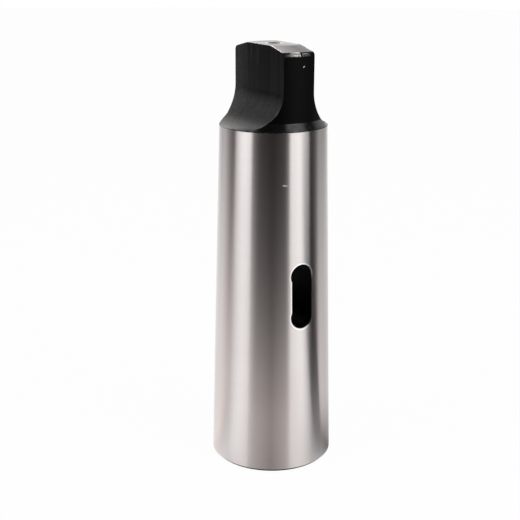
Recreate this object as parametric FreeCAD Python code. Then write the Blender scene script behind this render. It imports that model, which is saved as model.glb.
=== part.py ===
import FreeCAD, Part
import math
import os

# A drill and machine sleeve in one piece of steel: Morse taper 6 outside, Morse taper 3 inside.
# All lengths are in millimetres. The sleeve stands on its open end, the mouth, and its axis is Z.
# The origin is the middle of the mouth face. The tang is at the top, with its two flats facing +X and -X,
# and the drift slot goes through the sleeve along Y, in the plane of the tang.

# Outer taper, Morse 6
gauge_diameter = 63.348
gauge_height = 8.0
outer_taper = 1 / 19.180
shoulder_height = 178.0
mouth_edge_bevel = 1.4

# Tang and neck above the shoulder
overall_height = 218.0
neck_diameter = 50.3
neck_cone_height = 4.0
tang_thickness = 17.2
flat_run_radius = 18.4
flat_run_clearance = 0.1
end_face_diameter = 27.8
end_bevel_angle = 14.5
end_rim_round = 2.2

# Centre hole in the end of the tang
centre_sink_diameter = 5.0
centre_sink_angle = 60.0
centre_drill_diameter = 2.0
centre_drill_depth = 7.0

# Inner taper, Morse 3, with the relieved bore behind it
socket_diameter = 23.825
socket_taper = 1 / 19.922
relief_diameter = 20.2
relief_depth = 84.0
socket_edge_bevel = 0.8

# Drift slot: a hole bored near each end, a little wider than the web that is milled out between them.
# The web lies a little off the middle, towards +X.
slot_start = 78.1
slot_length = 33.5
slot_web_width = 11.4
slot_web_offset = 0.25
slot_hole_oversize = 0.6
slot_edge_round = 0.5

# Small dent on the narrow side of the tang
dent_below_end = 9.3
dent_angle = 4.0
dent_width = 1.4
dent_depth = 0.2

# Point of a twist drill, and how far a cut runs past the metal that it clears
drill_point_angle = 118.0
cut_over = 5.0

AXIS = FreeCAD.Vector(0, 0, 1)
CENTRE = FreeCAD.Vector(0, 0, 0)


def outer_radius(height):
    """Radius of the ground outer taper at a height above the mouth."""
    return gauge_diameter / 2 - (height - gauge_height) * outer_taper / 2


def socket_radius(height):
    """Radius of the inner taper at a height above the mouth."""
    return socket_diameter / 2 - height * socket_taper / 2


def revolve(outline):
    """Turn a closed outline of (radius, height) pairs about the axis."""
    points = [FreeCAD.Vector(radius, 0, height) for radius, height in outline]
    wire = Part.makePolygon(points + points[:1])
    return Part.Face(wire).revolve(CENTRE, AXIS, 360)


def cone_rise(half_width, full_angle):
    """Height of a pointed hole's end from its half width and its full angle."""
    return half_width / math.tan(math.radians(full_angle / 2))


def blank():
    """The turned and ground outside: bevelled mouth, taper, neck and bevelled end with its rounded rim."""
    neck_radius = neck_diameter / 2
    face_radius = end_face_diameter / 2
    end_drop = (neck_radius - face_radius) * math.tan(math.radians(end_bevel_angle))
    rim_height = overall_height - end_drop
    outline = [
        (0, 0),
        (outer_radius(0) - mouth_edge_bevel, 0),
        (outer_radius(mouth_edge_bevel), mouth_edge_bevel),
        (outer_radius(shoulder_height), shoulder_height),
        (neck_radius, shoulder_height + neck_cone_height),
        (neck_radius, rim_height),
        (face_radius, overall_height),
        (0, overall_height),
    ]
    return round_end_rim(revolve(outline), rim_height)


def round_end_rim(body, rim_height):
    """Round the edge where the neck meets the bevelled end."""
    rim = [
        edge for edge in body.Edges
        if abs(edge.BoundBox.ZMin - rim_height) < 0.001
        and abs(edge.BoundBox.ZMax - rim_height) < 0.001
    ]
    return body.makeFillet(end_rim_round, rim)


def flat_cut(side):
    """What the cutter takes off one side of the tang: a flat that runs out in an arc above the shoulder."""
    half = tang_thickness / 2
    low = shoulder_height + flat_run_clearance
    high = overall_height + cut_over
    arc_height = low + flat_run_radius
    clear = outer_radius(0) + cut_over
    bend = flat_run_radius * math.sqrt(0.5)
    top_in = FreeCAD.Vector(half, -clear, high)
    arc_start = FreeCAD.Vector(half, -clear, arc_height)
    arc_middle = FreeCAD.Vector(half + flat_run_radius - bend, -clear, arc_height - bend)
    arc_end = FreeCAD.Vector(half + flat_run_radius, -clear, low)
    low_out = FreeCAD.Vector(half + flat_run_radius + clear, -clear, low)
    top_out = FreeCAD.Vector(half + flat_run_radius + clear, -clear, high)
    edges = [
        Part.makeLine(top_in, arc_start),
        Part.Arc(arc_start, arc_middle, arc_end).toShape(),
        Part.makeLine(arc_end, low_out),
        Part.makeLine(low_out, top_out),
        Part.makeLine(top_out, top_in),
    ]
    cut = Part.Face(Part.Wire(edges)).extrude(FreeCAD.Vector(0, 2 * clear, 0))
    if side < 0:
        cut.rotate(CENTRE, AXIS, 180)
    return cut


def centre_hole():
    """The lathe centre's hole in the end face: a cone and a short drilled pilot."""
    sink_radius = centre_sink_diameter / 2
    drill_radius = centre_drill_diameter / 2
    sink_depth = cone_rise(sink_radius - drill_radius, centre_sink_angle)
    outline = [
        (0, overall_height + cut_over),
        (sink_radius, overall_height + cut_over),
        (sink_radius, overall_height),
        (drill_radius, overall_height - sink_depth),
        (drill_radius, overall_height - centre_drill_depth),
        (0, overall_height - centre_drill_depth - cone_rise(drill_radius, drill_point_angle)),
    ]
    return revolve(outline)


def socket():
    """The Morse 3 socket: bevelled mouth, ground taper, relieved bore and the drill's point."""
    relief_radius = relief_diameter / 2
    taper_depth = (socket_diameter - relief_diameter) / socket_taper
    mouth_radius = socket_radius(0) + socket_edge_bevel
    outline = [
        (0, -cut_over),
        (mouth_radius, -cut_over),
        (mouth_radius, 0),
        (socket_radius(socket_edge_bevel), socket_edge_bevel),
        (relief_radius, taper_depth),
        (relief_radius, relief_depth),
        (0, relief_depth + cone_rise(relief_radius, drill_point_angle)),
    ]
    return revolve(outline)


def slot_bar():
    """The drift slot's whole opening, as a bar along Y from well outside one wall to well outside the other."""
    reach = outer_radius(0) + cut_over
    hole_radius = (slot_web_width + slot_hole_oversize) / 2
    low_hole = slot_start + hole_radius
    high_hole = slot_start + slot_length - hole_radius
    along = FreeCAD.Vector(0, 1, 0)
    web_corner = FreeCAD.Vector(slot_web_offset - slot_web_width / 2, -reach, low_hole)
    web = Part.makeBox(slot_web_width, 2 * reach, high_hole - low_hole, web_corner)
    holes = [
        Part.makeCylinder(hole_radius, 2 * reach, FreeCAD.Vector(0, -reach, height), along)
        for height in (low_hole, high_hole)
    ]
    return web.fuse(holes).removeSplitter()


def slot_rim(sleeve):
    """The sharp edges where the slot comes out through the ground taper, on both walls."""
    high_end = slot_start + slot_length
    return [
        edge for edge in sleeve.Edges
        if is_on_taper(edge)
        and edge.BoundBox.ZMin > slot_start - slot_edge_round
        and edge.BoundBox.ZMax < high_end + slot_edge_round
    ]


def is_on_taper(edge):
    """True for an edge that lies in the surface of the outer taper."""
    middle = edge.valueAt((edge.FirstParameter + edge.LastParameter) / 2)
    return abs(math.hypot(middle.x, middle.y) - outer_radius(middle.z)) < 0.001


def dent():
    """A ball that leaves a small dent in the narrow side of the tang."""
    ball_radius = (dent_width ** 2 / 4 + dent_depth ** 2) / (2 * dent_depth)
    distance = neck_diameter / 2 - dent_depth + ball_radius
    angle = math.radians(dent_angle)
    height = overall_height - dent_below_end
    middle = FreeCAD.Vector(distance * math.sin(angle), -distance * math.cos(angle), height)
    return Part.makeSphere(ball_radius, middle)


def make_sleeve():
    """The whole sleeve, in the order in which it is machined."""
    sleeve = blank()
    sleeve = sleeve.cut([flat_cut(1), flat_cut(-1)])
    sleeve = sleeve.cut(centre_hole())
    sleeve = sleeve.cut(slot_bar())
    sleeve = sleeve.makeFillet(slot_edge_round, slot_rim(sleeve))
    sleeve = sleeve.cut(socket())
    sleeve = sleeve.cut(dent())
    return sleeve


os.makedirs("parts", exist_ok=True)
sleeve = make_sleeve()
solid = sleeve.Solids[0]
solid.exportStep("parts/sleeve.step")
print("sleeve: solids", len(sleeve.Solids), "valid", solid.isValid(), "volume", round(solid.Volume, 1))
print("box", solid.BoundBox)
print("slot rim edges rounded", len(slot_rim(blank().cut(slot_bar()))))
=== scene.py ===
# %% [markdown]
# # A Morse taper sleeve, step by step
# The object is a sleeve for a machine spindle: a long ground taper outside, a smaller tapered socket
# inside, a blackened tang at the top and a slot through the middle, where a wedge drives the inner tool out
# again. It is one piece of steel, so it becomes one mesh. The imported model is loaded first, because it
# gives the frame, the sizes and the box that the finished mesh has to stay in.

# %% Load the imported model
import math
from functools import partial

import bmesh
import bpy
from mathutils import Matrix, Vector


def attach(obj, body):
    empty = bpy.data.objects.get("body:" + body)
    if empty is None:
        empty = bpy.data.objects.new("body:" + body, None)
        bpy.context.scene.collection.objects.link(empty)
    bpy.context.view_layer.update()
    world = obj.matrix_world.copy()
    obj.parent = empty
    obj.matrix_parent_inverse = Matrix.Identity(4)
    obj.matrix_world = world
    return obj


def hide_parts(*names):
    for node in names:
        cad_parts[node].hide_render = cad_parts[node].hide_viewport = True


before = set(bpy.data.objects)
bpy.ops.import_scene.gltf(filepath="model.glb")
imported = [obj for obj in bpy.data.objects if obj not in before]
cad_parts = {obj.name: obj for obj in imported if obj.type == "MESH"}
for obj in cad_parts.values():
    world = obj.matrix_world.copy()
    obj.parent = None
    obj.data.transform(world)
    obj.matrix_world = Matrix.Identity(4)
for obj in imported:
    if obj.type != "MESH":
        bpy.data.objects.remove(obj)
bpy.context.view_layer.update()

# %% [markdown]
# ## The camera
# The camera could be turned by eye until the picture looks right. It is quicker to place it by numbers: a
# pinhole camera was fitted to the sleeve's edges in the photograph, which gave its distance, height, tilt
# and focal length. The angle is counted from the drift slot, which opens towards -Y.

# %% Place the camera
slot_to_camera = math.radians(31.0)
camera_distance, camera_height = 0.518415, 0.265637
look_down, look_aside, camera_roll = 0.29806, -0.01244, 0.00374
focal_pixels, image_pixels = 1036.92, 520

heading = slot_to_camera + look_aside
forward = Vector((
    math.sin(heading) * math.cos(look_down),
    math.cos(heading) * math.cos(look_down),
    -math.sin(look_down),
))
level_right = Vector((math.cos(heading), -math.sin(heading), 0))
level_up = level_right.cross(forward)
right = math.cos(camera_roll) * level_right + math.sin(camera_roll) * level_up
up = math.cos(camera_roll) * level_up - math.sin(camera_roll) * level_right
towards_camera = Vector((-math.sin(slot_to_camera), -math.cos(slot_to_camera), 0))

lens = bpy.data.cameras.new("camera")
lens.sensor_width = 36.0
lens.lens = focal_pixels * lens.sensor_width / image_pixels
lens.clip_start = 0.01
camera = bpy.data.objects.new("camera", lens)
camera_place = Matrix((right, up, -forward)).transposed().to_4x4()
camera_place.translation = towards_camera * camera_distance + Vector((0, 0, camera_height))
camera.matrix_world = camera_place
bpy.context.collection.objects.link(camera)
bpy.context.scene.camera = camera
print("camera at", tuple(round(n, 4) for n in camera.location), "lens", round(lens.lens, 2), "mm")

# %% [markdown]
# ## The sizes
# A turned part is drawn as half a profile, with a radius and a height for each corner. Its sizes are
# written down first, in millimetres as on a workshop drawing, and MM turns them into Blender's metres. They
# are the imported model's own sizes, so the finished mesh fits its box.

# %% Sizes of the turned blank, in millimetres
MM, CUBIC_MM = 0.001, 1e-9
gauge_radius, gauge_height, outer_slope = 31.674, 8.0, 1 / 38.36
shoulder_height, overall_height = 178.0, 218.0
neck_radius, neck_cone_height = 25.15, 4.0
mouth_bevel = 1.4
end_face_radius, end_bevel_angle, end_rim_round = 13.9, math.radians(14.5), 2.2
socket_mouth_radius, socket_slope, socket_bevel = 11.9125, 1 / 39.844, 0.8
relief_radius, relief_depth = 10.1, 84.0
centre_sink_radius, centre_drill_radius, centre_drill_depth = 2.5, 1.0, 7.0
sink_half_angle, drill_half_angle = math.radians(30), math.radians(59)


def outer_radius(height):
    return gauge_radius - (height - gauge_height) * outer_slope


def socket_radius(height):
    return socket_mouth_radius - height * socket_slope


print("taper radius at the mouth", round(outer_radius(0), 3), "at the shoulder", round(outer_radius(178), 3))

# %% [markdown]
# ## The turned blank
# On the real sleeve everything round is turned and ground on centres. The same happens here: the half
# profile is spun about the Z axis. The Screw modifier could do that too, but with the spin operator each
# stretch of the profile can be spun by itself, so its faces are known by name afterwards. 360 steps keep
# the outline smooth in close views.

# %% The half profile, from the bottom of the socket round to the bottom of the centre hole
rim_steps = 12
end_drop = (neck_radius - end_face_radius) * math.tan(end_bevel_angle)
rim_drop = end_rim_round * (1 - math.sin(end_bevel_angle)) / math.cos(end_bevel_angle)
rim_radius, rim_height = neck_radius - end_rim_round, overall_height - end_drop - rim_drop
rim_turns = [(math.pi / 2 - end_bevel_angle) * step / rim_steps for step in range(1, rim_steps + 1)]
rim_arc = [
    ("end_rim", rim_radius + end_rim_round * math.cos(turn), rim_height + end_rim_round * math.sin(turn))
    for turn in rim_turns
]
sink_depth = (centre_sink_radius - centre_drill_radius) / math.tan(sink_half_angle)
drill_point = centre_drill_radius / math.tan(drill_half_angle)
profile_start = (0, relief_depth + relief_radius / math.tan(drill_half_angle))
profile = [
    ("socket_bottom", relief_radius, relief_depth),
    ("relief", relief_radius, (socket_mouth_radius - relief_radius) / socket_slope),
    ("socket", socket_radius(socket_bevel), socket_bevel),
    ("socket_edge", socket_mouth_radius + socket_bevel, 0),
    ("mouth_face", outer_radius(0) - mouth_bevel, 0),
    ("mouth_edge", outer_radius(mouth_bevel), mouth_bevel),
    ("taper", outer_radius(shoulder_height), shoulder_height),
    ("cone", neck_radius, shoulder_height + neck_cone_height),
    ("neck", neck_radius, rim_height),
    *rim_arc,
    ("end_bevel", end_face_radius, overall_height),
    ("end_face", centre_sink_radius, overall_height),
    ("centre_sink", centre_drill_radius, overall_height - sink_depth),
    ("centre_drill", centre_drill_radius, overall_height - centre_drill_depth),
    ("centre_tip", 0, overall_height - centre_drill_depth - drill_point),
]
cut_surfaces = ["flat", "run_out", "slot_wall", "slot_rim", "dent"]
surfaces = list(dict.fromkeys([name for name, _, _ in profile] + cut_surfaces))
print("profile with", len(profile), "corners,", len(surfaces), "named surfaces")

# %% Spin the profile, one stretch at a time
round_steps = 360


def spin_stretch(mesh, start, end, surface):
    """Spin one straight stretch of the profile about Z, mark its faces, and add them to the mesh."""
    ring = bmesh.new()
    ends = [ring.verts.new((radius * MM, 0, height * MM)) for radius, height in (start, end)]
    edge = ring.edges.new(ends)
    bmesh.ops.spin(
        ring, geom=ends + [edge], cent=(0, 0, 0), axis=(0, 0, 1), dvec=(0, 0, 0),
        angle=math.tau, steps=round_steps, use_merge=True,
    )
    for face in ring.faces:
        face.material_index = surfaces.index(surface)
    carrier = bpy.data.meshes.new("stretch")
    ring.to_mesh(carrier)
    ring.free()
    mesh.from_mesh(carrier)
    bpy.data.meshes.remove(carrier)


def tell(name, mesh):
    print(name, len(mesh.faces), "faces, volume", round(mesh.calc_volume() / CUBIC_MM, 1), "cubic mm")


blank = bmesh.new()
start = profile_start
for surface, radius, height in profile:
    spin_stretch(blank, start, (radius, height), surface)
    start = (radius, height)
same_place = 1e-6
bmesh.ops.remove_doubles(blank, verts=blank.verts, dist=same_place)
bmesh.ops.recalc_face_normals(blank, faces=blank.faces)
tell("turned blank", blank)

# %% [markdown]
# ## The two flats of the tang
# A milling cutter takes off the tang's two sides. Each flat ends above the shoulder in a quarter arc, where
# the cutter ran out. The flats meet the round neck and the cone in curves that would be hard to draw by
# hand, so the metal that is taken away is modelled instead: an outline with one spun arc, pushed along Y.

# %% Cutter for the two flats
tang_half, run_radius, run_low = 8.6, 18.4, 178.1
reach, arc_steps = 40.0, 48
cutter_top = overall_height + 5


def millimetres(*place):
    return Vector(place) * MM


def spin_arc(mesh, corner, centre, sweep):
    """Spin a corner round an axis along Y, and give the arc's last corner."""
    arc = bmesh.ops.spin(
        mesh, geom=[corner], cent=centre, axis=(0, 1, 0), dvec=(0, 0, 0),
        angle=sweep, steps=arc_steps, use_merge=False,
    )
    return arc["geom_last"][0]


def flats_cutter():
    """Draw the cut beside the tang, push it along Y, and turn a second one to the other side."""
    mesh = bmesh.new()
    centre = millimetres(tang_half + run_radius, -reach, run_low + run_radius)
    corner = mesh.verts.new(millimetres(tang_half + run_radius, -reach, run_low))
    top_in = spin_arc(mesh, corner, centre, math.radians(90))
    outside = tang_half + run_radius + reach
    outer = [
        mesh.verts.new(millimetres(x, -reach, z))
        for x, z in ((tang_half, cutter_top), (outside, cutter_top), (outside, run_low))
    ]
    loop = [top_in] + outer + [corner]
    for one, other in zip(loop, loop[1:]):
        mesh.edges.new((one, other))
    bmesh.ops.contextual_create(mesh, geom=mesh.edges[:])
    side = bmesh.ops.extrude_face_region(mesh, geom=mesh.faces[:])
    moved = [part for part in side["geom"] if isinstance(part, bmesh.types.BMVert)]
    bmesh.ops.translate(mesh, verts=moved, vec=millimetres(0, 2 * reach, 0))
    for face in mesh.faces:
        straight = face.calc_center_median().z > centre.z
        face.material_index = surfaces.index("flat" if straight else "run_out")
    twin = bmesh.ops.duplicate(mesh, geom=mesh.faces[:] + mesh.edges[:] + mesh.verts[:])
    turned = [part for part in twin["geom"] if isinstance(part, bmesh.types.BMVert)]
    bmesh.ops.rotate(mesh, verts=turned, cent=(0, 0, 0), matrix=Matrix.Rotation(math.pi, 3, "Z"))
    bmesh.ops.recalc_face_normals(mesh, faces=mesh.faces)
    return mesh


flats = flats_cutter()
tell("flats cutter", flats)

# %% [markdown]
# ## The drift slot
# The slot is made as in the workshop: a hole is bored near each end, and the web between them is milled out
# a little narrower. Its outline is drawn with two spun arcs. Rings of this outline are then bridged through
# the sleeve. Near the ground surface each ring is wider than the last, so the cutter itself leaves the
# small rounding of the slot's rim, and no bevel has to be put on an uneven edge.

# %% Outline of the drift slot
slot_low, slot_high, hole_radius = 78.1, 111.6, 6.0
web_left, web_right = -5.45, 5.95
rim_round = 0.5
low_centre, high_centre = slot_low + hole_radius, slot_high - hole_radius
left_lift, right_lift = (math.sqrt(hole_radius ** 2 - side ** 2) for side in (web_left, web_right))
arc_sweep = math.pi + math.acos(web_right / hole_radius) + math.acos(-web_left / hole_radius)


def slot_outline(mesh):
    """The lower arc from the web's right side round to its left, and the upper arc back again."""
    first = mesh.verts.new(millimetres(web_right, 0, low_centre + right_lift))
    second = mesh.verts.new(millimetres(web_left, 0, high_centre - left_lift))
    for begin, height, end in ((first, low_centre, second), (second, high_centre, first)):
        mesh.edges.new((spin_arc(mesh, begin, millimetres(0, 0, height), arc_sweep), end))


def slot_outwards(place, part=None):
    """Direction out of the outline at a place on it; part tells which arc or side the place belongs to."""
    x, z = place.x / MM, place.z / MM
    part_z = z if part is None else part.z / MM
    lift = (right_lift if x > 0 else left_lift) + 0.01
    if part_z < low_centre + lift:
        return Vector((x, 0, z - low_centre)).normalized()
    if part_z > high_centre - lift:
        return Vector((x, 0, z - high_centre)).normalized()
    return Vector((math.copysign(1, x), 0, 0))


print("slot outline: arcs of", round(math.degrees(arc_sweep), 1), "degrees")

# %% Cutter for the drift slot
rim_angles = [math.radians(angle) for angle in (75, 60, 45, 30, 15, 0)]
run_past = 2.4


def skin_y(place):
    """How far from the middle plane the ground taper lies, in millimetres, beside a place."""
    return math.sqrt(outer_radius(place.z / MM) ** 2 - (place.x / MM) ** 2)


def slot_ring(mesh, side, wider, depth):
    """One more copy of the outline, wider by so much and so deep under the skin, or out in the open."""
    old_verts, old_edges = set(mesh.verts), set(mesh.edges)
    slot_outline(mesh)
    for vert in [v for v in mesh.verts if v not in old_verts]:
        vert.co = vert.co + slot_outwards(vert.co) * wider * MM
        vert.co.y = side * (reach if depth is None else skin_y(vert.co) - depth) * MM
    return [e for e in mesh.edges if e not in old_edges]


def slot_cutter():
    mesh = bmesh.new()
    steps = [(rim_round * (1 - math.cos(a)), rim_round * (1 - math.sin(a))) for a in rim_angles]
    outer = (steps[0][0] + run_past, steps[0][1] - run_past / math.tan(rim_angles[0]))
    half = [(outer[0], None), outer] + steps
    rings = [slot_ring(mesh, -1, wider, depth) for wider, depth in half]
    rings += [slot_ring(mesh, 1, wider, depth) for wider, depth in reversed(half)]
    for number, (one, other) in enumerate(zip(rings, rings[1:])):
        made = bmesh.ops.bridge_loops(mesh, edges=one + other)
        surface = "slot_wall" if number == len(half) - 1 else "slot_rim"
        for face in made["faces"]:
            face.material_index = surfaces.index(surface)
    for cap in (rings[0], rings[-1]):
        bmesh.ops.contextual_create(mesh, geom=cap)
    rim = [face for face in mesh.faces if face.material_index == surfaces.index("slot_rim")]
    bmesh.ops.triangulate(mesh, faces=rim)
    bmesh.ops.recalc_face_normals(mesh, faces=mesh.faces)
    return mesh


slot = slot_cutter()
tell("slot cutter", slot)

# %% [markdown]
# ## The dent
# Something hard once hit the narrow side of the tang and left a small round dent. It could be painted as a
# shadow, but a real hollow catches the light from every side. A ball that has the dent's width where it
# sinks in by the dent's depth is the cutter.

# %% Cutter for the dent
dent_width, dent_depth, dent_angle = 1.4, 0.2, math.radians(4)
dent_height = overall_height - 9.3
ball_radius = (dent_width ** 2 / 4 + dent_depth ** 2) / (2 * dent_depth)
ball_distance = neck_radius - dent_depth + ball_radius
ball_centre = millimetres(
    ball_distance * math.sin(dent_angle), -ball_distance * math.cos(dent_angle), dent_height
)
ball = bmesh.new()
bmesh.ops.create_uvsphere(
    ball, u_segments=48, v_segments=24, radius=ball_radius * MM, matrix=Matrix.Translation(ball_centre)
)
for face in ball.faces:
    face.material_index = surfaces.index("dent")
tell("dent cutter", ball)

# %% [markdown]
# ## Cutting
# The Boolean modifier works on objects, so each bmesh is written into one. The exact solver is taken,
# because the cutters meet the sleeve in thin slivers that the fast one would lose. The result is read back
# as a plain mesh, and no modifier stays on the finished piece.

# %% Cut the blank
paints = [bpy.data.materials.new("surface_" + name) for name in surfaces]


def as_object(mesh, name, coats=()):
    data = bpy.data.meshes.new(name)
    mesh.to_mesh(data)
    mesh.free()
    for coat in coats:
        data.materials.append(coat)
    thing = bpy.data.objects.new(name, data)
    bpy.context.collection.objects.link(thing)
    return thing


def cut_away(body, cutter):
    """Take the cutter's shape off the body, and remove the cutter."""
    modifier = body.modifiers.new("cut", "BOOLEAN")
    modifier.operation = "DIFFERENCE"
    modifier.solver = "EXACT"
    modifier.material_mode = "INDEX"
    modifier.object = cutter
    ready = body.evaluated_get(bpy.context.evaluated_depsgraph_get())
    made = bpy.data.meshes.new_from_object(ready)
    body.modifiers.clear()
    body.data = made
    bpy.data.objects.remove(cutter)


sleeve = as_object(blank, "sleeve_steel", paints)
for tool_name, tool in (("flats", flats), ("slot", slot), ("ball", ball)):
    cut_away(sleeve, as_object(tool, "cutter_" + tool_name, paints))
    print("after", tool_name, len(sleeve.data.polygons), "faces")

# %% [markdown]
# ## A closed skin
# A solid piece of steel has no holes in its skin, and a mesh for it shouldn't either. The cuts leave a few
# doubled corners and edges of no length. They are merged, the faces are turned outwards, and the open edges
# are counted: there should be none.

# %% Close and count the mesh
solid = bmesh.new()
solid.from_mesh(sleeve.data)
bmesh.ops.remove_doubles(solid, verts=solid.verts, dist=2 * same_place)
bmesh.ops.dissolve_degenerate(solid, edges=solid.edges, dist=same_place)
bmesh.ops.recalc_face_normals(solid, faces=solid.faces)
open_edges = [edge for edge in solid.edges if not edge.is_manifold]
counts = {name: 0 for name in surfaces}
for face in solid.faces:
    counts[surfaces[face.material_index]] += 1
tell("closed mesh", solid)
print("open edges", len(open_edges), "faces of each surface", counts)

# %% [markdown]
# ## Exact shading directions
# A mirror-like ground taper shows every error of its shading directions as a bend in the reflection.
# Averaged directions would do for a rough casting. Here each face knows which surface it belongs to, so its
# corners get the direction that the real surface has there: square to the cone, to the flat, to the run-out
# arc, to the slot's wall.

# %% Shading direction on each kind of surface
def turned_direction(face, corner):
    """A turned surface: keep the face's slope, and turn it to where the corner lies round the axis."""
    level = math.hypot(face.normal.x, face.normal.y)
    away = Vector((corner.x, corner.y, 0))
    if away.length < 1e-6 or level < 1e-6:
        return face.normal.copy()
    away.normalize()
    if away.x * face.normal.x + away.y * face.normal.y < 0:
        away = -away
    return Vector((away.x * level, away.y * level, face.normal.z))


def run_out_direction(face, corner):
    side = math.copysign(1, corner.x)
    centre = millimetres(side * (tang_half + run_radius), 0, run_low + run_radius)
    centre.y = corner.y
    return (centre - corner).normalized()


def end_rim_direction(face, corner):
    centre = Vector((corner.x, corner.y, 0)).normalized() * rim_radius * MM
    centre.z = rim_height * MM
    return (corner - centre).normalized()


def slot_rim_direction(face, corner):
    rise = 1 - (skin_y(corner) - abs(corner.y) / MM) / rim_round
    rise = min(max(rise, 0), 1)
    skin = Vector((corner.x, corner.y, 0)).normalized()
    inwards = -slot_outwards(corner, face.calc_center_median())
    return (inwards * math.sqrt(1 - rise * rise) + skin * rise).normalized()


directions = {
    "flat": lambda face, corner: Vector((math.copysign(1, face.normal.x), 0, 0)),
    "run_out": run_out_direction,
    "slot_wall": lambda face, corner: -slot_outwards(corner, face.calc_center_median()),
    "slot_rim": slot_rim_direction,
    "end_rim": end_rim_direction,
    "dent": lambda face, corner: (ball_centre - corner).normalized(),
}
print("surfaces with a rule of their own:", sorted(directions))

# %% Find the direction of every corner
corner_directions = []
worst = {}
for face in solid.faces:
    face.smooth = True
    surface = surfaces[face.material_index]
    find = directions.get(surface, turned_direction)
    for loop in face.loops:
        direction = find(face, loop.vert.co)
        corner_directions.append(direction.normalized())
        worst[surface] = max(worst.get(surface, 0), face.normal.angle(direction, 0))
for name, angle in worst.items():
    print(name, "differs from its flat faces by at most", round(math.degrees(angle), 2), "degrees")

# %% [markdown]
# ## From surfaces to finishes
# Twenty surfaces were kept apart for the shading. The finishes are fewer: the ground tapers, the black
# oxide of the neck, of the shoulder's cone, of the milled tang and of the slot, and the bare steel of the
# two ends and of the slot's rim. Each face gets the number of its finish, and the exact directions are
# written on the corners.

# %% Finish the mesh
finish_of = {
    "taper": "ground", "socket": "ground",
    "cone": "cone",
    "flat": "tang", "run_out": "tang",
    "slot_wall": "recess", "centre_sink": "recess", "centre_drill": "recess", "centre_tip": "recess",
    "slot_rim": "bright",
    "end_face": "end", "end_bevel": "end", "mouth_face": "end",
}
finishes = ["ground", "neck", "cone", "tang", "recess", "bright", "end"]
for face in solid.faces:
    face.material_index = finishes.index(finish_of.get(surfaces[face.material_index], "neck"))
sleeve.data.materials.clear()
solid.to_mesh(sleeve.data)
solid.free()
sleeve.data.name = "sleeve_steel"
sleeve.data.normals_split_custom_set(corner_directions)
for paint in paints:
    bpy.data.materials.remove(paint)
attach(sleeve, "root")
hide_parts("sleeve")
print("finished mesh:", len(sleeve.data.vertices), "corners,", len(sleeve.data.polygons), "faces")

# %% [markdown]
# ## Helpers for node trees
# Materials are node trees. They could be wired by hand in the shader editor, but a script can be read and
# changed at one place. Small helpers keep the cells below short: they make a node, do a sum, carry a value
# from one range into another, mix, and take a place apart or put one together. One call says which tree
# they all work in, so it needn't be named each time.

# %% Make nodes and do sums
def work_in(tree):
    """From now on the helpers put their nodes into this tree."""
    global work_tree
    work_tree = tree


def node(kind, **settings):
    made = work_tree.nodes.new(kind)
    for name, value in settings.items():
        setattr(made, name, value)
    return made


def feed(socket, value):
    """Put a number, a colour or another node's output into a socket."""
    if isinstance(value, bpy.types.NodeSocket):
        work_tree.links.new(value, socket)
    else:
        socket.default_value = value


def feed_all(sockets, values):
    for socket, value in zip(sockets, values):
        feed(socket, value)


def calculate(operation, *values):
    made = node("ShaderNodeMath", operation=operation)
    feed_all(made.inputs, values)
    return made.outputs[0]


operations = ("ADD", "SUBTRACT", "MULTIPLY", "DIVIDE", "MAXIMUM", "MULTIPLY_ADD")
plus, minus, times, over, larger, times_plus = (partial(calculate, operation) for operation in operations)


def carry(value, from_low, from_high, to_low=0.0, to_high=1.0, smooth=False):
    """Carry a value from one range into another, and stop at its ends."""
    made = node("ShaderNodeMapRange", interpolation_type="SMOOTHSTEP" if smooth else "LINEAR")
    feed_all(made.inputs, (value, from_low, from_high, to_low, to_high))
    return made.outputs[0]


print("sums ready:", operations)

# %% Mix values and colours, take places apart, make noise
def mix(share, one, other, kind="FLOAT", first=2, blend="MIX"):
    made = node("ShaderNodeMix", data_type=kind, blend_type=blend)
    feed_all((made.inputs[0], made.inputs[first], made.inputs[first + 1]), (share, one, other))
    return made.outputs[0 if kind == "FLOAT" else 2]


mix_colours = partial(mix, kind="RGBA", first=6)


def split(place):
    """The X, Y and Z of a place or a direction."""
    made = node("ShaderNodeSeparateXYZ")
    feed(made.inputs[0], place)
    return made.outputs


def join(*parts):
    made = node("ShaderNodeCombineXYZ")
    feed_all(made.inputs, parts)
    return made.outputs[0]


def length_of(vector):
    made = node("ShaderNodeVectorMath", operation="LENGTH")
    feed(made.inputs[0], vector)
    return made.outputs["Value"]


def noise(place, scale, detail=3.0, roughness=0.5):
    made = node("ShaderNodeTexNoise")
    settings = {"Vector": place, "Scale": scale, "Detail": detail, "Roughness": roughness}
    feed_all([made.inputs[name] for name in settings], settings.values())
    return made.outputs["Fac"]


def grey(level, warm=0.0):
    """A grey as linear light, with a little more red than blue where warm is above 0."""
    return (level * (1 + warm), level, level * (1 - warm * 0.3), 1.0)


print("a warm middle grey:", grey(0.5, 0.05))

# %% Start a material and finish it
def count_nodes(name):
    print(name + ":", len(work_tree.nodes), "nodes so far")


def steel_material(name, metallic, roughness, **constants):
    """A material with one Principled shader; the constants go straight onto its sockets."""
    made = bpy.data.materials.new(name)
    made.use_nodes = True
    work_in(made.node_tree)
    shader = work_tree.nodes["Principled BSDF"]
    constants.update(Metallic=metallic, Roughness=roughness)
    for socket, value in constants.items():
        shader.inputs[socket.replace("_", " ")].default_value = value
    return made, shader, node("ShaderNodeTexCoord").outputs["Object"]


def feed_shader(shader, colour, **values):
    feed(shader.inputs["Base Color"], colour)
    for name, value in values.items():
        feed(shader.inputs[name], value)
    count_nodes("material finished")


def grain_round_axis(shader):
    """Let the anisotropy follow the lines that run round the Z axis."""
    tangent = node("ShaderNodeTangent", direction_type="RADIAL", axis="Z")
    feed(shader.inputs["Tangent"], tangent.outputs[0])


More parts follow.
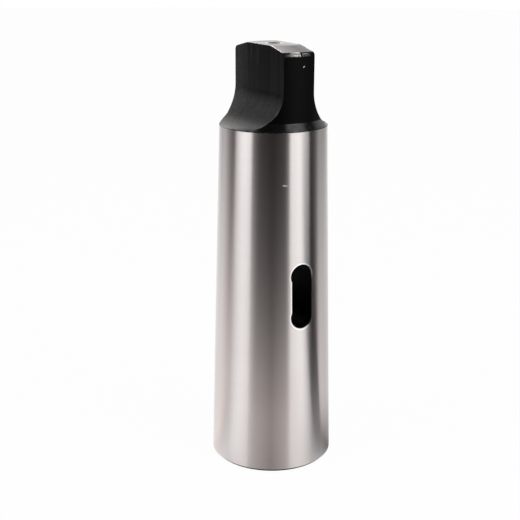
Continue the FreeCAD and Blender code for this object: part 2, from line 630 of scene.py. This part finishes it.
def raise_by(shader, height, distance):
    """Give the surface fine relief; distance is how many metres a height of 1 stands up."""
    bump = node("ShaderNodeBump")
    bump.inputs["Distance"].default_value = distance
    feed(bump.inputs["Height"], height)
    feed(shader.inputs["Normal"], bump.outputs[0])


print("a material's relief and grain can be set now")

# %% [markdown]
# ## Effects that several finishes share
# Machined steel shows the same few things again and again: the fine lines that a tool left, blotches of
# oxide, edges where the finish has worn away, and small oval marks. The group for worn edges also draws
# dark lines of painted shade along an edge. Each is a node group with named inputs and outputs. It is built
# once and then placed in each material with that material's own values.

# %% Helpers for groups
def start_group(name, inputs, outputs):
    """An empty node group with named sockets; each input has its first value, each output its kind."""
    tree = bpy.data.node_groups.new(name, "ShaderNodeTree")
    for label, value in inputs.items():
        kind = "Vector" if isinstance(value, tuple) else "Float"
        socket = tree.interface.new_socket(name=label, in_out="INPUT", socket_type="NodeSocket" + kind)
        socket.default_value = value
    for label, kind in outputs.items():
        tree.interface.new_socket(name=label, in_out="OUTPUT", socket_type="NodeSocket" + kind)
    print("group", name, "takes", list(inputs), "and gives", list(outputs))
    work_in(tree)
    return tree, node("NodeGroupInput").outputs, node("NodeGroupOutput").inputs


def use_group(group, **values):
    """Put a group into a material and feed it; its Place is the material's own if no other is given."""
    made = node("ShaderNodeGroup", node_tree=group)
    if "Place" in made.inputs:
        values.setdefault("Place", place)
    for name, value in values.items():
        feed(made.inputs[name.replace("_", " ")], value)
    return made.outputs


print("groups can be made and used now")


# %% [markdown]
# ## Where a spot lies
# Most marks on a turned part follow its axis. This group tells where a spot lies: the angle from the drift
# slot in degrees, the distance from the axis and the height above the mouth, both in millimetres.

# %% Group: round the axis
NO_PLACE = (0.0, 0.0, 0.0)
round_axis, given, wanted = start_group(
    "round_axis", {"Place": NO_PLACE}, {"Angle": "Float", "Radius": "Float", "Height": "Float"}
)
x, y, z = split(given["Place"])
turn = calculate("ARCTAN2", x, times(y, -1.0))
feed(wanted["Angle"], calculate("DEGREES", turn))
from_axis = length_of(join(x, y))
feed(wanted["Radius"], times(from_axis, 1 / MM))
feed(wanted["Height"], times(z, 1 / MM))

# %% [markdown]
# ## Tool lines
# A tool or a grinding grain leaves long fine lines. Noise that is stretched along them looks the same and
# never repeats. Density says how many lines lie in a metre along each axis. A second, coarse noise changes
# how deep they are, because a real tool doesn't press evenly.

# %% Group: fine lines left by a tool
tool_lines, given, wanted = start_group(
    "tool_lines", {"Place": NO_PLACE, "Density": (30.0, 30.0, 3000.0)}, {"Lines": "Float"}
)
dense = node("ShaderNodeVectorMath", operation="MULTIPLY")
feed_all(dense.inputs, (given["Place"], given["Density"]))
lines = noise(dense.outputs[0], 1.0, detail=4.0, roughness=0.65)
pressure = carry(noise(given["Place"], 60.0, detail=2.0), 0.35, 0.65, 0.4, 1.0)
lines = times(minus(lines, 0.5), pressure)
feed(wanted["Lines"], plus(lines, 0.5))

# %% [markdown]
# ## The tone of black oxide
# Black oxide isn't one black. Seen close it is a little browner here and bluer there, with small blotches.
# Two noises of different size do that: one picks the tint, and one varies the level.

# %% Group: the uneven colour of black oxide
brown_tint, blue_tint = (1.09, 1.0, 0.95, 1.0), (0.96, 1.0, 1.05, 1.0)
oxide_tone, given, wanted = start_group("oxide_tone", {"Place": NO_PLACE, "Level": 0.01}, {"Color": "Color"})
hue = carry(noise(given["Place"], 75.0), 0.4, 0.6)
blotch = noise(given["Place"], 850.0, detail=4.0, roughness=0.6)
depth = times(given["Level"], carry(blotch, 0.3, 0.7, 0.55, 1.45))
tinted = node("ShaderNodeVectorMath", operation="SCALE")
feed(tinted.inputs["Vector"], mix_colours(hue, brown_tint, blue_tint))
feed(tinted.inputs["Scale"], depth)
feed(wanted["Color"], tinted.outputs[0])

# %% [markdown]
# ## Edge wear, and painted shade along an edge
# Wear starts at an edge and reaches in unevenly. The material knows how far a spot is from the edge, so
# this group only needs that distance, how far the wear reaches on average, and how large its patches are,
# all in millimetres. It gives a mask that is 1 where the finish is gone. The same mask also lays the thin
# dark lines of painted shade along the shoulder.

# %% Group: wear, and painted shade, that starts at an edge
edge_wear_and_shade, given, wanted = start_group(
    "edge_wear_and_shade", {"Place": NO_PLACE, "Distance": 1.0, "Reach": 0.3, "Patch": 1.0}, {"Mask": "Float"}
)
patch = over(1000.0, given["Patch"])
uneven = carry(noise(given["Place"], patch), 0.35, 0.65, 0.2, 1.6)
reached = times(given["Reach"], uneven)
mask = carry(given["Distance"], times(reached, 0.6), reached, 1.0, 0.0)
feed(wanted["Mask"], mask)

# %% [markdown]
# ## Small oval marks
# A scuff or a fleck is a small oval on the round side. Its middle is given as an angle and a height, its
# half axes in millimetres. Degree Width is how many millimetres one degree is there, and Lean tilts the
# oval. The distance that comes out is 1 on its outline.

# %% Group: a small oval mark
oval_mark, given, wanted = start_group(
    "oval_mark",
    {"Angle": 0.0, "Height": 0.0, "Middle Angle": 0.0, "Middle Height": 0.0, "Degree Width": 0.5,
     "Lean": 0.0, "Half Width": 1.0, "Half Height": 1.0},
    {"Distance": "Float"},
)
across = times(minus(given["Angle"], given["Middle Angle"]), given["Degree Width"])
leaning = times_plus(across, given["Lean"], given["Middle Height"])
along = minus(given["Height"], leaning)
oval = join(over(across, given["Half Width"]), over(along, given["Half Height"]))
feed(wanted["Distance"], length_of(oval))

# %% [markdown]
# ## Ground steel
# The taper is finished between centres on a grinding wheel, so it carries fine lines all round. They spread
# a reflection along the axis and keep it sharp across, which is why the soft boxes show as long bands. A
# bump map alone would have to be finer than a pixel to do that. The shader's anisotropy does it instead,
# with its tangent round Z. The lines add a little tone, and they and a slow waviness ripple the surface.

# %% Ground steel: its lines and its tone
ground_roughness = 0.295
ground, shader, place = steel_material(
    "ground_steel", 1.0, ground_roughness, Anisotropic=1.0, Anisotropic_Rotation=0.25
)
grain_round_axis(shader)
where = use_group(round_axis)
lines = use_group(tool_lines, Density=(28, 28, 4200))["Lines"]
tone = noise(place, 42.0)
steel = mix_colours(carry(lines, 0.3, 0.7), grey(0.575, 0.05), grey(0.625, 0.05))
steel = mix_colours(carry(tone, 0.35, 0.65, 0.0, 0.5), steel, grey(0.57, 0.07))
waviness_to_lines = 2.5
raise_by(shader, plus(lines, times(noise(place, 260.0), waviness_to_lines)), 1.2e-6)
count_nodes("ground steel")

# %% [markdown]
# ## Marks on the ground steel
# Three marks break the even surface. One scuff sits high on the body, left of the slot's direction. A thin
# dark line of painted shade runs along the shoulder. Round the slot the burr was rubbed off, and the edge
# shines. The distance from the slot is worked out as for a drawing: from the web's two sides, and from the
# bored hole at each end.

# %% Scuff and the painted shade along the shoulder
scuff_far = use_group(
    oval_mark, Angle=where["Angle"], Height=where["Height"], Middle_Angle=-18.7, Middle_Height=152.4,
    Degree_Width=0.49, Lean=-0.12, Half_Width=1.3, Half_Height=0.38,
)["Distance"]
torn = times_plus(noise(place, 1800.0, detail=2.0), 1.4, -0.7)
scuff = carry(plus(scuff_far, torn), 0.7, 1.15, 1.0, 0.0)
from_shoulder = minus(shoulder_height, where["Height"])
# Painted shade: a thin dark line just under the shoulder, all round the taper.
painted_shoulder_line = use_group(edge_wear_and_shade, Distance=from_shoulder, Reach=0.07, Patch=2.5)["Mask"]
count_nodes("scuff and shoulder line")

# %% The shining edge round the slot, and the finished ground steel
across_slot = times(split(place)[0], 1 / MM)
from_slot = larger(minus(web_left, across_slot), minus(across_slot, web_right))
for hole_height, downwards in ((low_centre, -1.0), (high_centre, 1.0)):
    over_hole = minus(where["Height"], hole_height)
    from_slot = larger(from_slot, times(over_hole, downwards))
    from_hole = minus(length_of(join(across_slot, over_hole)), hole_radius)
    from_slot = calculate("MINIMUM", from_slot, from_hole)
steel = mix_colours(carry(from_slot, 0.6, 1.0, 1.0, 0.0), steel, grey(1.0, 0.02))
rough = times_plus(minus(lines, 0.5), 0.03, ground_roughness)
scuff_roughness, scuff_metallic = 0.62, 0.4
feed_shader(
    shader, mix_colours(painted_shoulder_line, steel, grey(0.01)),
    Roughness=mix(scuff, rough, scuff_roughness), Metallic=times_plus(scuff, scuff_metallic - 1.0, 1.0),
)

# %% [markdown]
# ## Black neck
# Neck and tang are blackened. That layer is thin and dull: it gives back about a hundredth of the light
# straight on and much more at a glancing angle, which makes the run-outs pale near the shoulder; the black
# tang adds painted light there as well. A very dark colour alone would miss that change. So the specular
# level is set low, at about a fifth of plain paint's, and Fresnel's law does the rest. On the neck, turning
# lines run round the axis.

# %% Black neck: its oxide and its lines
neck, shader, place = steel_material("black_neck", 0.0, 0.5, Specular_IOR_Level=0.09)
where = use_group(round_axis)
angle, height = where["Angle"], where["Height"]
lines = use_group(tool_lines, Density=(40, 40, 3600))["Lines"]
black = use_group(oxide_tone, Level=0.0003)["Color"]
count_nodes("black neck")

# %% [markdown]
# ## The chipped end rim
# The rounded rim above the drift slot has been knocked, and the oxide has come off in a ragged strip. It is
# widest left of the middle, ends in a sharp nick, and goes on in spots to the right. A noise draws the
# strip's lower edge, a second limit its upper one, and the angle says how much of it is bare. The dent
# below it has a bright fleck.

# %% Where the chipped strip lies
chip_shape = noise(place, 900.0, detail=4.0, roughness=0.6)
chip_low = times_plus(chip_shape, 1.4, rim_height - 0.35)
over_low = carry(height, minus(chip_low, 0.1), chip_low)
left_part = times(carry(angle, -19.0, -6.0, 0.05, 1.0), carry(angle, -0.4, 0.0, 1.0, 0.0))
right_part = times(carry(angle, 2.0, 2.5, 0.0, 0.45), carry(angle, 6.0, 14.0, 1.0, 0.0))
spots = carry(noise(place, 1300.0), 0.44, 0.56, 0.3, 1.6)
cover = plus(left_part, times(right_part, spots))
chip_high = carry(angle, -14.0, -9.0, rim_height + 1.35, rim_height + 2.5)
chip_high = minus(chip_high, carry(angle, 1.5, 3.0, 0.0, 0.9))
under_high = carry(height, chip_high, plus(chip_high, 0.15), 1.0, 0.0)
chip = times(times(over_low, cover), under_high)
fleck_far = use_group(
    oval_mark, Angle=angle, Height=height, Middle_Angle=4.1, Middle_Height=208.75,
    Degree_Width=0.44, Lean=0.6, Half_Width=0.55, Half_Height=0.3,
)["Distance"]
fleck = carry(fleck_far, 0.8, 1.1, 1.0, 0.0)
bare = larger(chip, fleck)
count_nodes("chipped strip")

# %% How bright the bare places are, and the finished neck
torn = use_group(tool_lines, Density=(1900, 1900, 500))["Lines"]
bare_level = carry(angle, -17.0, -7.0, 0.15, 0.34)
bare_level = times(bare_level, carry(torn, 0.4, 0.6, 0.65, 1.35))
bare_level = times(bare_level, carry(height, rim_height + 0.6, rim_height + 1.8, 1.0, 2.2))
bare_level = mix(fleck, bare_level, 0.9)
bare_roughness = 0.42
bare_steel = mix_colours(bare_level, grey(0.0), grey(1.0, 0.03))
rough = carry(lines, 0.3, 0.7, 0.44, 0.56)
feed_shader(
    shader, mix_colours(bare, black, bare_steel), Metallic=bare, Roughness=mix(bare, rough, bare_roughness)
)
oxide_thickness = 12.0
raise_by(shader, times_plus(bare, -oxide_thickness, lines), 3e-6)

# %% [markdown]
# ## Black cone
# The grinding wheel's edge has brushed the short cone above the shoulder, so its oxide is smoother than the
# neck's and mirrors the room. Towards the right of the slot it is painted lighter, up to a pale grey, for
# the light from the right that it mirrors there. Along the shoulder a dark line of painted shade is drawn by
# the group for edges.

# %% Black cone above the shoulder
cone, shader, place = steel_material("black_cone", 0.0, 0.22, Specular_IOR_Level=0.45)
where = use_group(round_axis)
lines = use_group(tool_lines, Density=(60, 60, 2600))["Lines"]
black = use_group(oxide_tone, Level=0.0035)["Color"]
from_shoulder = minus(where["Height"], shoulder_height)
# Painted shade: a dark line along the foot of the cone, at the shoulder.
painted_shoulder_shade = use_group(edge_wear_and_shade, Distance=from_shoulder, Reach=0.35, Patch=2.0)["Mask"]
# Painted light: the cone turns a pale grey towards the right, for the light from the right that it mirrors.
painted_right_light = mix_colours(carry(where["Angle"], 18.0, 44.0, 0.0, 0.14), black, grey(1.0, 0.02))
rubbed = carry(noise(place, 420.0), 0.35, 0.65, 0.15, 0.27)
rubbed = plus(rubbed, carry(lines, 0.3, 0.7, -0.03, 0.03))
feed_shader(shader, mix_colours(painted_shoulder_shade, painted_right_light, grey(0.001)), Roughness=mix(painted_shoulder_shade, rubbed, 0.7))
raise_by(shader, lines, 4e-6)

# %% [markdown]
# ## Black tang
# The mill that cut the flats went up and down, so their streaks run along the axis, and each pass of the
# cutter is a little paler on one side. One even black would look like plastic. Low on the run-outs, where
# they turn to face upwards, the light from above is painted into the oxide as a paler colour, and the oxide
# is browner there. A dark line of painted shade lies at their foot. The edge against the cone is rubbed
# grey.

# %% Black tang: streaks and passes of the cutter
pass_width, pass_start = 10.2, -3.7
tang, shader, place = steel_material("black_tang", 0.0, 0.45, Specular_IOR_Level=0.1)
where = use_group(round_axis)
height = where["Height"]
along_flat = times(split(place)[1], 1 / MM)
streaks = use_group(tool_lines, Density=(420, 420, 14))["Lines"]
fine = use_group(tool_lines, Density=(1500, 1500, 40))["Lines"]
passes = times_plus(along_flat, math.tau / pass_width, pass_start)
paler = carry(calculate("COSINE", passes), -1.0, 1.0, 0.0, 0.0025)
paler = plus(paler, carry(along_flat, 9.9, 10.5, 0.0, 0.011))
paler = plus(paler, carry(along_flat, 15.0, 23.0, 0.0, 0.014))
paler = plus(paler, carry(streaks, 0.47, 0.67, 0.0, 0.011))
count_nodes("black tang")

# %% The run-outs, painted paler where they face upwards
# Painted light: the run-out is painted paler low down, where it turns to face upwards.
painted_run_out_light = carry(height, 189.5, 195.0, 0.014, 0.0, smooth=True)
paler = plus(paler, times(painted_run_out_light, carry(height, 180.0, 187.0, 0.4, 1.0)))
pale_height, foot_height = 5.5, 1.5
# Painted light: much paler still just above the run-out's foot, where it faces straight up.
painted_upward_light = carry(height, run_low, run_low + pale_height, 0.9, 0.0)
painted_upward_light = plus(times(painted_upward_light, painted_upward_light), carry(height, run_low, run_low + foot_height, 0.5, 0.0))
painted_upward_light = times(painted_upward_light, carry(along_flat, -14.0, 18.0, 0.03, 0.10))
black = use_group(oxide_tone, Level=plus(paler, painted_upward_light))["Color"]
browned = times(carry(height, 180.0, 186.0, 1.0, 0.0), carry(along_flat, -8.0, 8.0))
black = mix_colours(browned, black, (1.16, 1.0, 0.88, 1.0), blend="MULTIPLY")
count_nodes("run-outs")

# %% The tang's rubbed edge and the painted shade at its foot, and the finished tang
cone_top = shoulder_height + neck_cone_height
edge_radius = carry(height, shoulder_height, cone_top, outer_radius(shoulder_height), neck_radius)
to_edge = minus(edge_radius, where["Radius"])
rubbed = use_group(edge_wear_and_shade, Distance=to_edge, Reach=0.4, Patch=3.0)["Mask"]
rubbed = times(rubbed, carry(height, 186.0, 192.0, 0.5, 0.0))
from_run_low = minus(height, run_low)
# Painted shade: a dark line at the foot of the run-out, where it meets the shoulder.
painted_shoulder_shade = use_group(edge_wear_and_shade, Distance=from_run_low, Reach=0.1, Patch=2.0)["Mask"]
painted_shoulder_shade = times(painted_shoulder_shade, carry(along_flat, -6.0, -3.0, 1.0, 0.0))
colour = mix_colours(rubbed, black, grey(0.22, 0.03))
rough = carry(height, 188.0, 198.0, 0.22, 0.37, smooth=True)
rough = plus(rough, carry(streaks, 0.35, 0.65, -0.05, 0.05))
feed_shader(shader, mix_colours(painted_shoulder_shade, colour, grey(0.001)), Roughness=mix(painted_shoulder_shade, rough, 0.9))
raise_by(shader, plus(streaks, times(fine, 0.4)), 6e-6)

# %% [markdown]
# ## The slot's walls
# The inside of the slot and of the centre hole is as black as the tang, and little light gets in. It still
# has a finish of its own, because boring leaves lines across the wall, and a hole that is pure black would
# look like a hole in the picture.

# %% Black slot walls and centre hole
recess, shader, place = steel_material("black_recess", 0.0, 0.5, Specular_IOR_Level=0.07)
lines = use_group(tool_lines, Density=(1400, 60, 1400))["Lines"]
black = use_group(oxide_tone, Level=0.0006)["Color"]
feed_shader(shader, black, Roughness=carry(lines, 0.3, 0.7, 0.42, 0.58))
raise_by(shader, lines, 5e-6)

# %% [markdown]
# ## The slot's rim
# The rim was rounded by hand after the blackening. It is a bright thread on the left and at both ends, with
# a few stains. On the right it fades to grey, and along the web it is black.
# Half of its shine is metallic and half is dull, as on steel that was filed and not ground.

# %% Bright slot rim
bright, shader, place = steel_material("slot_rim", 0.5, 0.28)
x, y, z = split(place)
left_to_right = times(x, calculate("SIGN", y))
blackened = carry(left_to_right, -0.0046, -0.003, 1.0, 0.0)
blackened = times(blackened, carry(z, 0.1035, 0.106, 1.0, 0.0))
lines = use_group(tool_lines, Density=(500, 500, 3000))["Lines"]
steel = mix_colours(carry(lines, 0.3, 0.7), grey(0.85, 0.02), grey(1.0, 0.02))
stain = carry(noise(place, 320.0), 0.55, 0.65, 0.0, 0.3)
steel = mix_colours(stain, steel, grey(0.3, 0.05))
steel = mix_colours(carry(left_to_right, -0.0048, -0.002, 0.9, 0.0), steel, grey(0.2, 0.03))
feed_shader(shader, mix_colours(blackened, steel, grey(0.02)), Roughness=carry(lines, 0.3, 0.7, 0.3, 0.42))
raise_by(shader, lines, 2e-6)

# %% [markdown]
# ## Bare ends
# The end face, its bevel and the mouth face were turned after the blackening, so they are bare. A facing
# tool leaves rings, and the same anisotropy as on the taper spreads the light across them. The rings are
# tool lines too, but drawn over the radius and the height. The bevel is painted lighter on its left and
# darker on its right, as the room lights it, and the mouth face is evenly bright.

# %% Bare ends: rings, bevel and mouth face
end, shader, place = steel_material(
    "bare_end", 1.0, 0.36, Anisotropic=0.6, Anisotropic_Rotation=0.25, Specular_IOR_Level=0.0
)
grain_round_axis(shader)
where = use_group(round_axis)
radius, height = where["Radius"], where["Height"]
ring_place = join(times(radius, MM), times(height, MM))
rings = use_group(tool_lines, Place=ring_place, Density=(3000, 60, 0))["Lines"]
x = split(place)[0]
on_bevel = carry(height, overall_height - 0.2, overall_height - 0.1, 1.0, 0.0)
# Painted light and shade: the bevel is lighter on its left and darker on its right, as the room lights it.
bevel_steel = mix_colours(carry(x, -0.008, 0.001), grey(0.38, 0.05), grey(0.105, 0.1))
steel = mix_colours(on_bevel, grey(0.31, 0.05), bevel_steel)
at_mouth = carry(height, 100.0, 110.0, 1.0, 0.0)
steel = mix_colours(at_mouth, steel, grey(0.45, 0.05))
steel = mix_colours(carry(rings, 0.42, 0.58, 0.0, 0.25), steel, grey(0.24, 0.06))
smear = noise(place, 240.0)
steel = mix_colours(carry(smear, 0.45, 0.6, 0.0, 0.3), steel, grey(0.2, 0.07))
count_nodes("bare ends")

# %% [markdown]
# ## Marks on the end
# The corners along the flats are rubbed, and they are painted bright for the highlight that they catch. A
# bright ring round the centre hole is a painted highlight. At the hole's mouth a black ring of painted shade
# makes it look as dark as its shaded inside. That ring isn't metal, so it takes the metallic value down with
# it.

# %% Rubbed corners with a painted highlight, painted ring and shade round the hole, and the finished ends
to_flat = minus(tang_half, times(calculate("ABSOLUTE", x), 1 / MM))
# Painted highlight: the rubbed corners along the flats are painted bright for the highlight they catch.
rubbed = use_group(edge_wear_and_shade, Distance=to_flat, Reach=0.65, Patch=1.2)["Mask"]
steel = mix_colours(times(rubbed, minus(1.0, at_mouth)), steel, grey(0.85, 0.02))
# Painted highlight: a bright ring round the centre hole.
steel = mix_colours(carry(radius, 3.8, 5.4, 0.7, 0.0), steel, grey(0.75, 0.02))
# Painted shade: a black ring at the hole's mouth, so that it looks as dark as its shaded inside.
painted_hole_shade = carry(radius, 3.2, 3.3, 1.0, 0.0)
feed_shader(
    shader, mix_colours(painted_hole_shade, steel, grey(0.0)),
    Metallic=minus(1.0, painted_hole_shade), Roughness=carry(rings, 0.3, 0.7, 0.32, 0.4),
)
raise_by(shader, rings, 2e-6)

# %% [markdown]
# ## Putting the finishes on
# The faces already carry the number of their finish. The materials only have to be added to the mesh in the
# same order as in the list of finishes.

# %% Give the sleeve its finishes
for made in (ground, neck, cone, tang, recess, bright, end):
    sleeve.data.materials.append(made)
print("finishes:", dict(zip(finishes, [made.name for made in sleeve.data.materials])))

# %% [markdown]
# ## The studio
# Polished steel is a mirror, so the room is the picture. A sweep of pale paper lies under the sleeve and
# stands behind it, two tall soft boxes stand left and right, and the side of the camera is dark. Floor and
# world read their brightness from the angle round the sleeve. It is counted from the camera's side in the
# photograph, but it is a fixed angle in the room: it doesn't follow the camera.

# %% Angles round the sleeve
def polar(angle, distance, height):
    """A place by its angle round the axis, counted from the camera and positive to its right."""
    turned = Matrix.Rotation(math.radians(angle), 3, "Z") @ towards_camera
    return turned * distance + Vector((0, 0, height))


def angle_share(place):
    """The angle round the axis of a place or a direction, from 0 to 1, with the camera's side at 0.5."""
    turn = node("ShaderNodeVectorRotate", rotation_type="Z_AXIS")
    feed(turn.inputs["Vector"], place)
    feed(turn.inputs["Angle"], slot_to_camera)
    x, y, z = split(turn.outputs[0])
    angle = calculate("ARCTAN2", x, times(y, -1.0))
    return times_plus(angle, 1 / math.tau, 0.5), z


def ramp_of(share, stops):
    """A colour ramp over the angle, from pairs of degrees and level."""
    made = node("ShaderNodeValToRGB")
    feed(made.inputs[0], share)
    ramp = made.color_ramp
    ramp.elements.remove(ramp.elements[1])
    for number, (degrees, level) in enumerate(stops):
        stop = ramp.elements[0] if number == 0 else ramp.elements.new(degrees / 360 + 0.5)
        stop.position = degrees / 360 + 0.5
        stop.color = grey(level)
    return made.outputs[0]


print("60 degrees to the right, 1 m away:", tuple(round(n, 3) for n in polar(60, 1, 0)))

# %% [markdown]
# ## What each viewer sees
# The Light Path node tells whether the camera, a mirroring surface or some other light meets a surface. So
# paper and air can be plain white to the camera, while the steel mirrors a studio that is drawn for it. With
# one shader for all, either the background or the reflections would be wrong.

# %% Shaders for the camera, for the steel and for the rest
def light(kind, colour, strength=1.0):
    """An Emission or Background shader."""
    made = node(kind)
    feed(made.inputs["Color"], colour)
    feed(made.inputs["Strength"], strength)
    return made.outputs[0]


def mix_shaders(share, one, other):
    made = node("ShaderNodeMixShader")
    feed_all(made.inputs, (share, one, other))
    return made.outputs[0]


def empty_tree(owner):
    """Work in the tree of a material or a world, with nothing in it."""
    owner.use_nodes = True
    work_in(owner.node_tree)
    work_tree.nodes.clear()


def show(output, camera_share, to_camera, to_steel, to_rest):
    """Give the camera, the mirroring steel and all other light a shader each."""
    path = node("ShaderNodeLightPath").outputs
    mirrored = larger(path["Is Glossy Ray"], path["Is Transmission Ray"])
    seen = mix_shaders(mirrored, to_rest, to_steel)
    seen = mix_shaders(times(path["Is Camera Ray"], camera_share), seen, to_camera)
    feed(node(output).inputs["Surface"], seen)


print("three viewers told apart: the camera, the mirroring steel and all other light")

# %% [markdown]
# ## The floor
# The sleeve stands on a large sheet of pale paper. To the camera it is white, through the Light Path node,
# with a small share of plain matt paper for the shadow. What the steel mirrors is another matter: it sees a
# pool of light round the sleeve, which reaches far behind it, ends close before it, and is darker right at
# the foot. Lamps for each part of that pool would be hard to tune, so ramps over the angle draw it.

# %% Floor mesh
floor_radius, floor_corners = 4.0, 96
floor_mesh = bmesh.new()
bmesh.ops.create_circle(floor_mesh, cap_ends=True, segments=floor_corners, radius=floor_radius)
floor = as_object(floor_mesh, "floor")
print("floor with", len(floor.data.vertices), "corners")

# %% Light on the floor, as pairs of degrees and level
longest_reach = 2.6
pool_reach_m = [
    (-180, 2.6), (-135, 1.05), (-112, 0.85), (-104, 0.58), (-95, 0.37), (-70, 0.76), (-56, 0.6), (-44, 0.39),
    (-30, 0.186), (0, 0.142), (28, 0.196), (45, 0.68), (58, 0.58), (70, 0.2), (76, 0.09), (97, 0.1),
    (106, 0.6), (116, 0.89), (135, 1.1), (180, 2.6),
]
pool_level = [
    (-180, 1.1), (-100, 1.24), (-85, 1.1), (-62, 1.3), (-35, 1.1), (0, 1.02), (35, 1.1), (57, 1.33),
    (90, 1.1), (125, 0.9), (180, 1.1),
]
pool_warmth = [
    (-180, 0.0), (-125, 0.0), (-100, 1.0), (-78, 0.2), (-62, 0.0), (-40, 0.4), (0, 1.0), (40, 0.3),
    (57, 0.0), (80, 0.2), (100, 0.6), (125, 0.0), (180, 0.0),
]
foot_level = [
    (-180, 1.0), (-110, 1.0), (-60, 1.0), (-30, 0.8), (0, 0.44), (30, 0.85), (60, 0.6), (90, 0.16),
    (120, 0.55), (160, 1.0),
]
print("the pool reaches from", min(reach for _, reach in pool_reach_m), "to", longest_reach, "m")

# %% The pool of light as the steel sees it
paper = bpy.data.materials.new("paper")
empty_tree(paper)
place = node("ShaderNodeTexCoord").outputs["Object"]
share, _ = angle_share(place)
away = length_of(place)
pool_reach = ramp_of(share, [(angle, reach / longest_reach) for angle, reach in pool_reach_m])
far_share = over(away, times(pool_reach, longest_reach))
level = carry(far_share, 0.47, 1.53, ramp_of(share, pool_level), 0.0, smooth=True)
open_floor = carry(away, 0.05, 0.09, smooth=True)
near_foot = larger(ramp_of(share, foot_level), open_floor)
warmth = mix_colours(ramp_of(share, pool_warmth), grey(1.0, 0.0), grey(1.0, 0.1))
pool = light("ShaderNodeEmission", warmth, times(level, near_foot))
count_nodes("pool of light")

# %% Paper: white to the camera, the pool to the steel, matt to all other light
camera_share = 0.97
matt = node("ShaderNodeBsdfDiffuse")
feed(matt.inputs["Color"], grey(0.85))
white = light("ShaderNodeEmission", grey(1.0))
show("ShaderNodeOutputMaterial", camera_share, white, pool, matt.outputs[0])
floor.data.materials.append(paper)
count_nodes("paper finished")

# %% [markdown]
# ## The world
# Round the floor there is only air. The camera sees it white. The steel sees bright paper behind the
# sleeve, a dark room on the camera's side and grey walls between, again from a ramp over the angle, and
# somewhat more light overhead. Everything else gets a plain grey light from all sides. The world needs no
# importance map, because the soft boxes carry the light.

# %% World
room_level = [
    (-180, 1.3), (-157, 1.25), (-150, 0.78), (-135, 0.56), (-120, 0.76), (-112, 0.1), (-101, 0.0),
    (-92, 0.0), (82, 0.0), (90, 0.06), (104, 0.02), (107, 0.45), (115, 0.41), (125, 0.33), (135, 0.35),
    (143, 0.34), (150, 0.42), (156, 1.3), (180, 1.3),
]
overhead_level = [(-180, 1.0), (-100, 1.3), (0, 0.5), (100, 1.0), (140, 1.0), (180, 1.0)]
world = bpy.data.worlds.new("studio")
world.cycles.sampling_method = "NONE"
bpy.context.scene.world = world
empty_tree(world)
share, rise = angle_share(node("ShaderNodeTexCoord").outputs["Generated"])
overhead = carry(rise, 0.2, 0.55, 1.0, ramp_of(share, overhead_level))
room = light("ShaderNodeBackground", ramp_of(share, room_level), overhead)
plain = light("ShaderNodeBackground", grey(0.5))
show("ShaderNodeOutputWorld", 1.0, light("ShaderNodeBackground", grey(1.0)), room, plain)
count_nodes("world finished")

# %% [markdown]
# ## The soft boxes
# Two tall soft boxes light the sleeve from the left and from the right of the camera. A real one is not
# even: its edges are dimmer than its middle. So each lamp carries a ramp from its left edge to its right
# one, and the bright bands on the taper get the same soft profile. Its power follows from its size, so that
# it gives a plain level of light.

# %% Soft boxes
def soft_box(name, angle, distance, low, high, width, levels):
    """A tall area lamp that faces the axis; levels give its brightness from its left edge to its right."""
    brightest = 4
    data = bpy.data.lights.new(name, "AREA")
    data.shape = "RECTANGLE"
    data.size, data.size_y = width, high - low
    data.energy = math.pi * width * (high - low)
    data.use_nodes = True
    work_in(data.node_tree)
    share, _ = angle_share(node("ShaderNodeNewGeometry").outputs["Position"])
    half = math.degrees(math.atan(width / 2 / distance))
    steps = len(levels) - 1
    edges = [(angle - half + 2 * half * number / steps, level) for number, level in enumerate(levels)]
    glow = work_tree.nodes["Emission"]
    feed(glow.inputs["Color"], ramp_of(share, [(turn, level / brightest) for turn, level in edges]))
    feed(glow.inputs["Strength"], brightest)
    lamp = bpy.data.objects.new(name, data)
    to_axis = -polar(angle, distance, 0)
    stand = Matrix.Translation(polar(angle, distance, (low + high) / 2))
    lamp.matrix_world = stand @ to_axis.to_track_quat("-Z", "Y").to_matrix().to_4x4()
    lamp.visible_camera = False
    bpy.context.collection.objects.link(lamp)
    print(name, "power", round(data.energy, 2), "W, half angle", round(half, 1), "degrees")


soft_box("soft_box_left", -63.9, 1.0, 0.09, 1.1, 0.72, (1.15, 1.9, 2.46, 2.4, 2.15))
soft_box("soft_box_right", 57.5, 1.0, 0.07, 1.27, 0.836, (2.4, 2.0, 2.6, 2.0, 1.05))
bpy.context.scene.view_settings.view_transform = "Standard"
